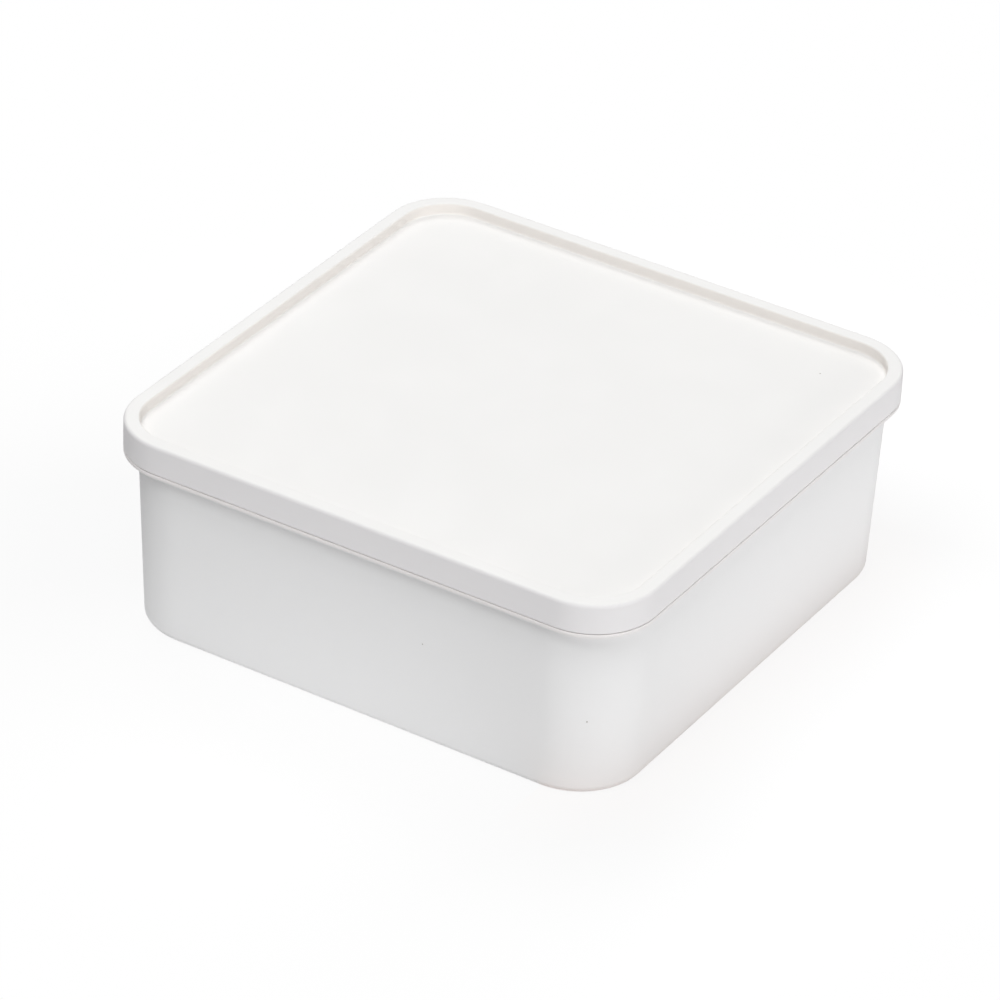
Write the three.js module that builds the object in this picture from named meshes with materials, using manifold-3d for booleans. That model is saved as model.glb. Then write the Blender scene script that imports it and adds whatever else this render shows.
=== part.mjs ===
// Divided food storage container: a tapered square tub, two halved divider panels that lift out,
// and a tray-top lid whose plug carries a silicone seal.
// Millimetres, +Z up, the middle of the base at the origin.
import * as THREE from "three";
import { mergeVertices } from "three/addons/utils/BufferGeometryUtils.js";
import Module from "manifold-3d";

// Lid: outline, raised rim round a tray recess, and the skirt that stands on the flange.
const lidLength = 200;
const lidWidth = 200;
const lidCornerRadius = 23.2;
const skirtHeight = 10.6;
const skirtThickness = 1.8;
const skirtEdgeRadius = 0.4;
const topEdgeRadius = 1.3;
const rimWidth = 5.4;
const rimInnerRadius = 0.8;
const rimThickness = 2.1;
const recessDepth = 4;
const recessFloorRadius = 0.8;
const recessWallThickness = 1.6;
const plateThickness = 2;

// Plug ring under the lid, with the groove that holds the seal.
const plugDepth = 5.2;
const plugThickness = 2.4;
const plugClearance = 1.1;
const plugLeadIn = 0.6;
const grooveDepth = 1;
const grooveHeight = 2.6;
const grooveAbovePlugFoot = 1.3;

// Outer box: mouth height, flange, drafted wall and base.
const boxHeight = 66.3;
const flangeThickness = 1.4;
const flangeReveal = 0.05;
const flangeEdgeRadius = 0.4;
const wallSetback = 2.75;
const wallCornerRadius = 26;
const wallThickness = 1.8;
const wallDraft = THREE.MathUtils.degToRad(2.2);
const mouthEdgeRadius = 0.5;
const baseEdgeRadius = 3;
const floorRadius = 4.5;
const floorThickness = 2;
const footWidth = 7;
const footHeight = 0.8;

// Guide ribs that hold the ends of the dividers.
const ribWidth = 1.6;
const ribDepth = 2.6;
const ribBite = 0.7;
const ribTopBelowMouth = 11;

// Divider panels.
const dividerThickness = 2;
const dividerBelowMouth = 0.6;
const beadRadius = 2;
const notchRadius = 1.5;
const lapShare = 0.5;

// Clearances.
const skirtGap = 0.4;
const seatGap = 0.3;
const sealGap = 0.2;
const slotClearance = 0.4;
const lapClearance = 0.3;
const notchClearance = 0.8;

// Fineness of the curves.
const cornerSegments = 10;
const filletSegments = 4;
const beadSegments = 12;

// Heights that follow from the values above.
const flangeFoot = boxHeight - flangeThickness;
const skirtFoot = boxHeight + skirtGap;
const lidTop = skirtFoot + skirtHeight;
const recessFloor = lidTop - recessDepth;
const plateUnderside = recessFloor - plateThickness;
const plugFoot = boxHeight - plugDepth;
const grooveFoot = plugFoot + grooveAbovePlugFoot;
const grooveTop = grooveFoot + grooveHeight;
const floorTop = footHeight + floorThickness;
const dividerTop = boxHeight - dividerBelowMouth;
const ribTop = boxHeight - ribTopBelowMouth;

// Outlines: rounded rectangles that each ring of a piece is set in from.
const lidOutline = { length: lidLength, width: lidWidth, radius: lidCornerRadius };
const flangeOutline = setIn(lidOutline, flangeReveal);
const wallOutline = {
  length: lidLength - 2 * wallSetback,
  width: lidWidth - 2 * wallSetback,
  radius: wallCornerRadius,
};

// Insets from the wall outline: the wall's faces lean in towards the base.
const draftSlope = Math.tan(wallDraft);
const draftStretch = 1 / Math.cos(wallDraft);
const outerWall = (z) => (flangeFoot - z) * draftSlope;
const innerWall = (z) => outerWall(z) + wallThickness;
const plugInset = wallThickness + plugClearance;
const plugInnerInset = plugInset + plugThickness;
const floorCentreZ = floorTop + floorRadius;
const floorCentreInset = innerWall(floorCentreZ) + floorRadius * draftStretch;

// Angles of a section sketch, in which x is the inset and y the height.
const outward = Math.PI;
const down = Math.PI * 1.5;
const up = Math.PI / 2;
const inward = 0;

function setIn(outline, distance) {
  return {
    length: outline.length - 2 * distance,
    width: outline.width - 2 * distance,
    radius: outline.radius - distance,
  };
}

// One closed ring of points round an outline at a height.
function ring(outline, z) {
  const x = outline.length / 2 - outline.radius;
  const y = outline.width / 2 - outline.radius;
  const shape = new THREE.Shape();
  shape.absarc(x, y, outline.radius, inward, up);
  shape.absarc(-x, y, outline.radius, up, outward);
  shape.absarc(-x, -y, outline.radius, outward, down);
  shape.absarc(x, -y, outline.radius, down, down + up);
  return shape.getPoints(cornerSegments / 2).map((p) => new THREE.Vector3(p.x, p.y, z));
}

// The rings of a section sketch carried round an outline.
function carry(outline, section) {
  return section.getPoints(filletSegments / 2).map((p) => ring(setIn(outline, p.x), p.y));
}

// A closed solid through the rings, from an upper cap out and down to a lower cap, or round in a loop.
function loft(rings, isLoop) {
  const count = rings[0].length;
  const index = [];
  const bands = isLoop ? rings.length : rings.length - 1;
  for (let band = 0; band < bands; band += 1) {
    const here = band * count;
    const next = ((band + 1) % rings.length) * count;
    for (let i = 0; i < count; i += 1) {
      const j = (i + 1) % count;
      index.push(here + i, next + i, next + j);
      index.push(here + i, next + j, here + j);
    }
  }
  if (!isLoop) {
    const last = (rings.length - 1) * count;
    for (const [a, b, c] of THREE.ShapeUtils.triangulateShape(rings[0], [])) {
      index.push(a, b, c);
    }
    for (const [a, b, c] of THREE.ShapeUtils.triangulateShape(rings[rings.length - 1], [])) {
      index.push(last + a, last + c, last + b);
    }
  }
  const geometry = new THREE.BufferGeometry().setFromPoints(rings.flat());
  geometry.setIndex(index);
  return geometry;
}

const wasm = await Module();
wasm.setup();

function toSolid(geometry) {
  const bare = new THREE.BufferGeometry();
  bare.setAttribute("position", geometry.getAttribute("position"));
  bare.setIndex(geometry.getIndex());
  const merged = mergeVertices(bare);
  return new wasm.Manifold(
    new wasm.Mesh({
      numProp: 3,
      vertProperties: merged.attributes.position.array,
      triVerts: new Uint32Array(merged.index.array),
    }),
  );
}

function toGeometry(solid) {
  const mesh = solid.getMesh();
  const geometry = new THREE.BufferGeometry();
  geometry.setAttribute("position", new THREE.BufferAttribute(mesh.vertProperties, mesh.numProp));
  geometry.setIndex(new THREE.BufferAttribute(mesh.triVerts, 1));
  return geometry;
}

// A flat panel from a shape drawn in the XZ plane, centred on the plane.
function panel(shape, thickness) {
  const geometry = new THREE.ExtrudeGeometry(shape, {
    depth: thickness,
    bevelEnabled: false,
    curveSegments: filletSegments,
  });
  return geometry.translate(0, 0, -thickness / 2).rotateX(Math.PI / 2);
}

function block(sizeX, sizeY, low, high) {
  return new THREE.BoxGeometry(sizeX, sizeY, high - low).translate(0, 0, (low + high) / 2);
}

const group = new THREE.Group();

function addPart(name, geometry, color, roughness) {
  geometry.computeVertexNormals();
  const material = new THREE.MeshStandardMaterial({ color, roughness, metalness: 0 });
  const mesh = new THREE.Mesh(geometry, material);
  mesh.name = name;
  group.add(mesh);
}

// Outer box: inside floor and wall up to the mouth, out over the flange, down the outside, in under the base.
const inside = new THREE.Path();
inside.moveTo(floorCentreInset, floorTop);
inside.absarc(floorCentreInset, floorCentreZ, floorRadius, down, outward + wallDraft, true);
const mouthCentreZ = boxHeight - mouthEdgeRadius;
const mouthCentreInset = innerWall(mouthCentreZ) - mouthEdgeRadius * draftStretch;
inside.absarc(mouthCentreInset, mouthCentreZ, mouthEdgeRadius, wallDraft, up);

const flange = new THREE.Path();
flange.absarc(flangeEdgeRadius, boxHeight - flangeEdgeRadius, flangeEdgeRadius, up, outward);
flange.absarc(flangeEdgeRadius, flangeFoot + flangeEdgeRadius, flangeEdgeRadius, outward, down);

const outside = new THREE.Path();
const baseCentreInset = outerWall(baseEdgeRadius) + baseEdgeRadius * draftStretch;
outside.moveTo(outerWall(flangeFoot), flangeFoot);
outside.absarc(baseCentreInset, baseEdgeRadius, baseEdgeRadius, outward + wallDraft, down);
outside.lineTo(baseCentreInset + footWidth, 0);
outside.lineTo(baseCentreInset + footWidth + footHeight, footHeight);

let box = toSolid(
  loft([
    ...carry(wallOutline, inside),
    ...carry(flangeOutline, flange),
    ...carry(wallOutline, outside),
  ]),
);

// One guide rib in section, standing on the floor and leaning with the wall.
function ribSection(halfSize) {
  const face = (z) => halfSize - innerWall(z);
  const shape = new THREE.Shape();
  shape.moveTo(face(floorTop) + ribBite, floorTop - ribBite);
  shape.lineTo(face(ribTop) + ribBite, ribTop);
  shape.lineTo(face(ribTop), ribTop);
  shape.lineTo(face(ribTop - ribDepth) - ribDepth, ribTop - ribDepth);
  shape.lineTo(face(floorTop) - ribDepth, floorTop - ribBite);
  return shape;
}

const ribOffset = dividerThickness / 2 + slotClearance + ribWidth / 2;
const ribWalls = [
  { halfSize: wallOutline.length / 2, turn: 0 },
  { halfSize: wallOutline.width / 2, turn: up },
  { halfSize: wallOutline.length / 2, turn: outward },
  { halfSize: wallOutline.width / 2, turn: down },
];
for (const { halfSize, turn } of ribWalls) {
  for (const side of [-1, 1]) {
    const rib = panel(ribSection(halfSize), ribWidth).translate(0, side * ribOffset, 0).rotateZ(turn);
    box = box.add(toSolid(rib));
  }
}
addPart("outer_box", toGeometry(box), 0xf3f2ee, 0.45);

// A divider panel across the tub, with its ends in the guide ribs, its upper corners notched to clear the lid's
// plug, and a round bead along the top to lift it by.
function dividerBlank(halfSize) {
  const end = (z) => halfSize - innerWall(z) - seatGap * draftStretch;
  const cornerX = halfSize - floorCentreInset;
  const cornerRadius = floorRadius - seatGap;
  const notchX = halfSize - plugInnerInset - notchClearance;
  const notchZ = plugFoot - notchClearance;
  const panelTop = dividerTop - beadRadius;
  const shape = new THREE.Shape();
  shape.absarc(cornerX, floorCentreZ, cornerRadius, -up, -wallDraft);
  shape.lineTo(end(notchZ), notchZ);
  shape.absarc(notchX + notchRadius, notchZ + notchRadius, notchRadius, -up, -outward, true);
  shape.lineTo(notchX, panelTop);
  shape.lineTo(-notchX, panelTop);
  shape.absarc(-notchX - notchRadius, notchZ + notchRadius, notchRadius, inward, -up, true);
  shape.lineTo(-end(notchZ), notchZ);
  shape.absarc(-cornerX, floorCentreZ, cornerRadius, outward + wallDraft, down);
  const beadLength = 2 * (notchX - beadRadius);
  const bead = new THREE.CapsuleGeometry(beadRadius, beadLength, filletSegments, beadSegments)
    .rotateZ(up)
    .translate(0, 0, panelTop);
  return toSolid(panel(shape, dividerThickness)).add(toSolid(bead));
}

const dividerFoot = floorTop + seatGap;
const lapZ = dividerFoot + lapShare * (dividerTop - dividerFoot);
const lapWidth = dividerThickness + 2 * lapClearance;
const beadLapWidth = 2 * (beadRadius + lapClearance);
const beadLapFoot = dividerTop - 2 * beadRadius - lapClearance;

// Lower divider: runs along X and is slotted from above, wider at the top for the other panel's bead.
const lowerSlot = toSolid(block(lapWidth, beadLapWidth, lapZ, lidTop));
const lowerBeadSlot = toSolid(block(beadLapWidth, beadLapWidth, beadLapFoot, lidTop));
const lowerDivider = dividerBlank(wallOutline.length / 2).subtract(lowerSlot).subtract(lowerBeadSlot);
addPart("lower_divider", toGeometry(lowerDivider), 0xecebe6, 0.5);

// Upper divider: runs along Y and is slotted from below.
const upperSlot = toSolid(block(beadLapWidth, lapWidth, 0, lapZ + lapClearance));
const upperBlank = toSolid(toGeometry(dividerBlank(wallOutline.width / 2)).rotateZ(up));
const upperDivider = upperBlank.subtract(upperSlot);
addPart("upper_divider", toGeometry(upperDivider), 0xecebe6, 0.5);

// Lid: from the recess floor out over the rim, down the skirt, up inside it, and in under the plate to the plug.
const top = new THREE.Path();
const recessCentreInset = rimWidth + recessFloorRadius;
const grooveInset = rimWidth - recessWallThickness;
const rimUnderside = lidTop - rimThickness;
top.moveTo(recessCentreInset, recessFloor);
top.absarc(recessCentreInset, recessFloor + recessFloorRadius, recessFloorRadius, down, outward, true);
top.absarc(rimWidth - rimInnerRadius, lidTop - rimInnerRadius, rimInnerRadius, inward, up);
top.absarc(topEdgeRadius, lidTop - topEdgeRadius, topEdgeRadius, up, outward);
top.absarc(skirtEdgeRadius, skirtFoot + skirtEdgeRadius, skirtEdgeRadius, outward, down);
top.lineTo(skirtThickness, skirtFoot);
top.lineTo(skirtThickness, rimUnderside);
top.lineTo(grooveInset, rimUnderside);
top.lineTo(grooveInset, plateUnderside);

const plug = new THREE.Path();
plug.moveTo(plugInset, plateUnderside);
plug.lineTo(plugInset, grooveTop);
plug.lineTo(plugInset + grooveDepth, grooveTop);
plug.lineTo(plugInset + grooveDepth, grooveFoot);
plug.lineTo(plugInset, grooveFoot);
plug.lineTo(plugInset, plugFoot + plugLeadIn);
plug.lineTo(plugInset + plugLeadIn, plugFoot);
plug.lineTo(plugInnerInset, plugFoot);
plug.lineTo(plugInnerInset, plateUnderside);
addPart("lid", loft([...carry(lidOutline, top), ...carry(wallOutline, plug)]), 0xf5f4f0, 0.45);

// Lid seal: silicone ring with a round nose, seated in the plug's groove and reaching to the wall of the mouth.
const noseRadius = grooveHeight / 2 - sealGap;
const sealMiddle = grooveFoot + grooveHeight / 2;
const noseCentreInset = innerWall(sealMiddle) + seatGap + noseRadius;
const sealBackInset = plugInset + grooveDepth - sealGap;
const seal = new THREE.Path();
seal.moveTo(sealBackInset, sealMiddle + noseRadius);
seal.absarc(noseCentreInset, sealMiddle, noseRadius, up, down);
seal.lineTo(sealBackInset, sealMiddle - noseRadius);
addPart("lid_seal", loft(carry(wallOutline, seal), true), 0xdcdcd8, 0.6);

export default group;
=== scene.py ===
"""Divided food storage container: a white tub with a tray-top lid and two halved divider panels inside.

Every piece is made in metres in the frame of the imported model, in the order in which the container goes
together: the tub with its guide ribs and mould marks, the dividers, the lid with its marks and its seal,
and last the studio.
"""
import math

import bmesh
import bpy
from mathutils import Matrix, Vector


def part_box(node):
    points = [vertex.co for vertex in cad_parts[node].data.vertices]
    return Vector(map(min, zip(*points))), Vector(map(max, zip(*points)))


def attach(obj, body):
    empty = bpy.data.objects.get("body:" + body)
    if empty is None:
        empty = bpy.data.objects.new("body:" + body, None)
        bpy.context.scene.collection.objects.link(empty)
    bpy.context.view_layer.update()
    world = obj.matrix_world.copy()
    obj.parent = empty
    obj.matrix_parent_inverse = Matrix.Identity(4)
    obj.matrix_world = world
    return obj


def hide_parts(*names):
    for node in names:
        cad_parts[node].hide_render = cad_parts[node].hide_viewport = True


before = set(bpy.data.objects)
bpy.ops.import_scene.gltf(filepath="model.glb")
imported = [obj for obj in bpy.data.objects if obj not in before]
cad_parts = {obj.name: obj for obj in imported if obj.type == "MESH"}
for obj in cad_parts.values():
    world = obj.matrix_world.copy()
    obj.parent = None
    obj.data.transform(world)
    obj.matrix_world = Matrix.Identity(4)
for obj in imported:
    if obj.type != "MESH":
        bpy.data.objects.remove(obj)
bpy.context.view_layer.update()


# Outer box: a tapered square tub with a flat flange round its mouth and a foot ring under its base.
# It is injection-moulded in white polypropylene, and its walls lean out so that it leaves the tool.
# The section of the wall is carried round the tub's outline, which is a square with round corners.
mm = 0.001
tub_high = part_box("outer_box")[1]
lid_low, lid_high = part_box("lid")
flange_top = tub_high[2]
flange_thickness = 1.4 * mm
flange_foot = flange_top - flange_thickness
flange_edge_radius = 0.4 * mm
flange_root_radius = 1.3 * mm
flange_land = 1.2 * mm
wall_setback = 2.75 * mm
wall_thickness = 1.8 * mm
wall_draft = math.radians(2.2)
wall_slope = math.tan(wall_draft)
mouth_radius = 0.5 * mm
base_radius = 3 * mm
foot_width = 7 * mm
foot_height = 0.8 * mm
foot_edge_radius = 0.3 * mm
floor_thickness = 2 * mm
floor_top = foot_height + floor_thickness
floor_radius = 4.5 * mm
flat_margin = 3 * mm
corner_steps = 24
weld_distance = 0.001 * mm

# An outline is half its length, half its width and the radius of its corners.
lid_corner_radius = 23.2 * mm
flange_reveal = 0.05 * mm
wall_corner_radius = 26 * mm
lid_outline = Vector((lid_high[0], lid_high[1], lid_corner_radius))
flange_outline = Vector((tub_high[0], tub_high[1], lid_corner_radius - flange_reveal))
wall_outline = Vector((lid_high[0] - wall_setback, lid_high[1] - wall_setback, wall_corner_radius))


def outer_wall(height):
    """How far the wall's outer face lies inside the wall outline at a height."""
    return (flange_foot - height) * wall_slope


def inner_wall(height):
    """How far the wall's inner face lies inside the wall outline at a height."""
    return outer_wall(height) + wall_thickness


def round_corners(corners, steps=6, hold=0.15 * mm):
    """Points along a line of (x, z, radius) corners with each inner corner rounded.

    A point just before and after each round keeps the flat beside it flat when it is smooth shaded.
    """
    points = [Vector(corners[0][:2])]
    for before, here, after in zip(corners, corners[1:], corners[2:]):
        corner = Vector(here[:2])
        back = (Vector(before[:2]) - corner).normalized()
        ahead = (Vector(after[:2]) - corner).normalized()
        half_angle = back.angle(ahead) / 2
        reach = here[2] / math.tan(half_angle)
        centre = corner + (back + ahead).normalized() * here[2] / math.sin(half_angle)
        arm = corner + back * reach - centre
        sweep = math.copysign(math.pi - 2 * half_angle, ahead.cross(back))
        points.append(corner + back * (reach + hold))
        points += [centre + Matrix.Rotation(sweep * step / steps, 2) @ arm for step in range(steps + 1)]
        points.append(corner + ahead * (reach + hold))
    return points + [Vector(corners[-1][:2])]


def section_line(name, runs):
    """The section as a line of points, x the inset and z the height.

    Each run of points comes with the outline that it is carried round, which its points keep.
    """
    points = [(outline, point) for outline, run in runs for point in run]
    places = [(point.x, 0, point.y) for _, point in points]
    mesh = bpy.data.meshes.new(name)
    mesh.from_pydata(places, [(i, i + 1) for i in range(len(places) - 1)], [])
    carried = mesh.attributes.new("outline", "FLOAT_VECTOR", "POINT")
    carried.data.foreach_set("vector", [value for outline, _ in points for value in outline])
    return mesh


def socket(tree, side, kind, name):
    """A named input or output of a node tree."""
    return tree.interface.new_socket(name, in_out=side, socket_type="NodeSocket" + kind)


def add(tree, kind, values=None, **settings):
    """A node with its settings, and its inputs set from numbers or joined to sockets."""
    made = tree.nodes.new(kind)
    for name, value in settings.items():
        setattr(made, name, value)
    for name, value in (values or {}).items():
        if isinstance(value, bpy.types.NodeSocket):
            tree.links.new(value, made.inputs[name])
        else:
            made.inputs[name].default_value = value
    return made


def calc(tree, operation, *values):
    """The result of a sum on numbers or sockets."""
    return add(tree, "ShaderNodeMath", dict(enumerate(values)), operation=operation).outputs[0]


# The place of one point of a carried section: Column counts round the outline, Row counts along the section.
# Each corner has a column on the straight just before and after its round, which keeps the straight flat.
outline_point = bpy.data.node_groups.new("Outline Point", "GeometryNodeTree")
socket(outline_point, "INPUT", "Geometry", "Section")
socket(outline_point, "INPUT", "Int", "Corner Steps")
socket(outline_point, "INPUT", "Float", "Straight Margin")
socket(outline_point, "INPUT", "Int", "Column")
socket(outline_point, "INPUT", "Int", "Row")
socket(outline_point, "OUTPUT", "Vector", "Position")
socket(outline_point, "OUTPUT", "Float", "Inset")
given = add(outline_point, "NodeGroupInput").outputs
per_corner = calc(outline_point, "ADD", given["Corner Steps"], 3)
corner_number = calc(outline_point, "FLOOR", calc(outline_point, "DIVIDE", given["Column"], per_corner))
step = calc(outline_point, "SUBTRACT", calc(outline_point, "MODULO", given["Column"], per_corner), 1)
turned = calc(outline_point, "DIVIDE", step, given["Corner Steps"])
turned = calc(outline_point, "MINIMUM", calc(outline_point, "MAXIMUM", turned, 0), 1)
angle = calc(outline_point, "MULTIPLY", calc(outline_point, "ADD", corner_number, turned), math.pi / 2)
half_way = calc(outline_point, "MULTIPLY", calc(outline_point, "ADD", corner_number, 0.5), math.pi / 2)
past_end = calc(outline_point, "MAXIMUM", calc(outline_point, "SUBTRACT", step, given["Corner Steps"]), 0)
past = calc(outline_point, "ADD", past_end, calc(outline_point, "MINIMUM", step, 0))
past = calc(outline_point, "MULTIPLY", past, given["Straight Margin"])
section_place = add(outline_point, "GeometryNodeInputPosition")
values = {"Name": "outline"}
own_outline = add(outline_point, "GeometryNodeInputNamedAttribute", values, data_type="FLOAT_VECTOR")
sampled = []
for field in (section_place.outputs[0], own_outline.outputs[0]):
    values = {"Geometry": given["Section"], "Value": field, "Index": given["Row"]}
    picked = add(outline_point, "GeometryNodeSampleIndex", values, data_type="FLOAT_VECTOR", domain="POINT")
    sampled.append(add(outline_point, "ShaderNodeSeparateXYZ", {0: picked.outputs[0]}).outputs)
inset_and_height, outline = sampled
radius = calc(outline_point, "SUBTRACT", outline["Z"], inset_and_height["X"])
place = []
for axis, along, across in (("X", "COSINE", "SINE"), ("Y", "SINE", "COSINE")):
    side = calc(outline_point, "SIGN", calc(outline_point, along, half_way))
    to_centre = calc(outline_point, "SUBTRACT", outline[axis], outline["Z"])
    centre = calc(outline_point, "MULTIPLY", side, to_centre)
    arm = calc(outline_point, "MULTIPLY", radius, calc(outline_point, along, angle))
    straight = calc(outline_point, "MULTIPLY", past, calc(outline_point, across, angle))
    if axis == "X":
        straight = calc(outline_point, "MULTIPLY", straight, -1)
    place.append(calc(outline_point, "ADD", calc(outline_point, "ADD", centre, arm), straight))
values = {"X": place[0], "Y": place[1], "Z": inset_and_height["Z"]}
combined = add(outline_point, "ShaderNodeCombineXYZ", values)
add(outline_point, "NodeGroupOutput", {"Position": combined.outputs[0], "Inset": inset_and_height["X"]})

# The whole carried section: a skin of rows and columns, and a flat face at each end unless it is a loop.
carried_section = bpy.data.node_groups.new("Carried Section", "GeometryNodeTree")
socket(carried_section, "INPUT", "Geometry", "Section")
socket(carried_section, "INPUT", "Int", "Corner Steps")
socket(carried_section, "INPUT", "Float", "Straight Margin")
socket(carried_section, "INPUT", "Bool", "Loop")
socket(carried_section, "INPUT", "Material", "Material")
socket(carried_section, "OUTPUT", "Geometry", "Geometry")
given = add(carried_section, "NodeGroupInput").outputs
index = add(carried_section, "GeometryNodeInputIndex").outputs[0]
values = {"Geometry": given["Section"]}
size = add(carried_section, "GeometryNodeAttributeDomainSize", values, component="MESH")
points = size.outputs["Point Count"]
rows = calc(carried_section, "ADD", points, given["Loop"])
columns = calc(carried_section, "MULTIPLY", calc(carried_section, "ADD", given["Corner Steps"], 3), 4)
closing_columns = calc(carried_section, "ADD", columns, 1)


def carried(flat, column, row):
    """The flat mesh with its points moved to their places on the carried section, each keeping its inset."""
    values = {name: given[name] for name in ("Section", "Corner Steps", "Straight Margin")}
    values |= {"Column": column, "Row": row}
    spot = add(carried_section, "GeometryNodeGroup", values, node_tree=outline_point)
    values = {"Geometry": flat.outputs["Mesh"], "Position": spot.outputs["Position"]}
    placed = add(carried_section, "GeometryNodeSetPosition", values).outputs["Geometry"]
    values = {"Geometry": placed, "Name": "inset", "Value": spot.outputs["Inset"]}
    kept = add(carried_section, "GeometryNodeStoreNamedAttribute", values, data_type="FLOAT", domain="POINT")
    return kept.outputs["Geometry"]


skin = add(carried_section, "GeometryNodeMeshGrid", {"Vertices X": closing_columns, "Vertices Y": rows})
skin_column = calc(carried_section, "FLOOR", calc(carried_section, "DIVIDE", index, rows))
skin_column = calc(carried_section, "MODULO", skin_column, columns)
skin_row = calc(carried_section, "MODULO", calc(carried_section, "MODULO", index, rows), points)
end_face = add(carried_section, "GeometryNodeMeshCircle", {"Vertices": columns}, fill_type="NGON")
first_row = calc(carried_section, "MULTIPLY", index, 0)
last_row = calc(carried_section, "ADD", first_row, calc(carried_section, "SUBTRACT", points, 1))
ends = add(carried_section, "GeometryNodeJoinGeometry")
for row in (last_row, first_row):
    carried_section.links.new(carried(end_face, index, row), ends.inputs[0])
no_ends_on_loop = add(carried_section, "GeometryNodeSwitch", input_type="GEOMETRY")
carried_section.links.new(given["Loop"], no_ends_on_loop.inputs["Switch"])
carried_section.links.new(ends.outputs[0], no_ends_on_loop.inputs["False"])
whole = add(carried_section, "GeometryNodeJoinGeometry")
carried_section.links.new(no_ends_on_loop.outputs[0], whole.inputs[0])
carried_section.links.new(carried(skin, skin_column, skin_row), whole.inputs[0])
values = {"Geometry": whole.outputs[0], "Distance": weld_distance}
closed = add(carried_section, "GeometryNodeMergeByDistance", values)
values = {"Geometry": closed.outputs[0], "Shade Smooth": True}
smooth = add(carried_section, "GeometryNodeSetShadeSmooth", values)
real = add(carried_section, "GeometryNodeRealizeInstances", {"Geometry": smooth.outputs[0]})
values = {"Geometry": real.outputs[0], "Material": given["Material"]}
finished = add(carried_section, "GeometryNodeSetMaterial", values)
add(carried_section, "NodeGroupOutput", {"Geometry": finished.outputs[0]})


def grow(name, seed_mesh, tree, **values):
    """Runs a Geometry Nodes tree on a mesh and keeps what it makes as a plain mesh object."""
    worker = bpy.data.objects.new(name + "_worker", seed_mesh)
    bpy.context.scene.collection.objects.link(worker)
    growth = worker.modifiers.new("growth", "NODES")
    growth.node_group = tree
    for item in tree.interface.items_tree:
        label = item.name.lower().replace(" ", "_")
        if label in values:
            growth[item.identifier] = values[label]
    return keep(name, worker)


def keep(name, worker):
    """Turns a worker object with its modifiers into a plain mesh object with its faces pointing out."""
    now = bpy.context.evaluated_depsgraph_get()
    mesh = bpy.data.meshes.new_from_object(worker.evaluated_get(now), depsgraph=now)
    bpy.data.objects.remove(worker)
    shell = bmesh.new()
    shell.from_mesh(mesh)
    bmesh.ops.recalc_face_normals(shell, faces=shell.faces)
    shell.to_mesh(mesh)
    shell.free()
    mesh.name = name
    piece = bpy.data.objects.new(name, mesh)
    bpy.context.scene.collection.objects.link(piece)
    return piece


# The skin that the mould leaves on every plastic piece: a fine spark-eroded grain, slow changes of tone
# where the plastic flowed, patches that handling has rubbed smoother, and a few specks of dust.
flow_patches_per_metre = 14
rubbed_patches_per_metre = 45
rubbed_from = 0.42
rubbed_full = 0.68
speckless_share = 0.45
mould_skin = bpy.data.node_groups.new("Mould Skin", "ShaderNodeTree")
socket(mould_skin, "INPUT", "Float", "Grain Width")
socket(mould_skin, "INPUT", "Float", "Speck Spacing")
socket(mould_skin, "INPUT", "Float", "Speck Width")
for name in ("Tone", "Rubbed", "Specks", "Grain"):
    socket(mould_skin, "OUTPUT", "Float", name)
given = add(mould_skin, "NodeGroupInput").outputs
here = add(mould_skin, "ShaderNodeTexCoord").outputs["Object"]
values = {"Vector": here, "Scale": flow_patches_per_metre, "Detail": 3, "Roughness": 0.55}
flow_tone = add(mould_skin, "ShaderNodeTexNoise", values)
values = {"Vector": here, "Scale": rubbed_patches_per_metre, "Detail": 5, "Distortion": 0.6}
patches = add(mould_skin, "ShaderNodeTexNoise", values)
values = {"Value": patches.outputs[0], "From Min": rubbed_from, "From Max": rubbed_full}
rubbed = add(mould_skin, "ShaderNodeMapRange", values)
grain_scale = calc(mould_skin, "DIVIDE", 1, given["Grain Width"])
grain = add(mould_skin, "ShaderNodeTexNoise", {"Vector": here, "Scale": grain_scale, "Detail": 2})
speck_scale = calc(mould_skin, "DIVIDE", 1, given["Speck Spacing"])
cells = add(mould_skin, "ShaderNodeTexVoronoi", {"Vector": here, "Scale": speck_scale})
speck_reach = calc(mould_skin, "DIVIDE", given["Speck Width"], given["Speck Spacing"])
in_reach = calc(mould_skin, "LESS_THAN", cells.outputs["Distance"], speck_reach)
drawn = add(mould_skin, "ShaderNodeSeparateColor", {"Color": cells.outputs["Color"]}).outputs["Red"]
specks = calc(mould_skin, "MULTIPLY", in_reach, calc(mould_skin, "GREATER_THAN", drawn, speckless_share))
values = {"Tone": flow_tone.outputs[0], "Rubbed": rubbed.outputs[0]}
values |= {"Specks": specks, "Grain": grain.outputs[0]}
add(mould_skin, "NodeGroupOutput", values)


dust_spacing = 15 * mm
dust_width = 0.26 * mm
dust_tone = (0.42, 0.4, 0.37)
plastic_grain_strength = 0.5
polypropylene_ior = 1.49


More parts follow.
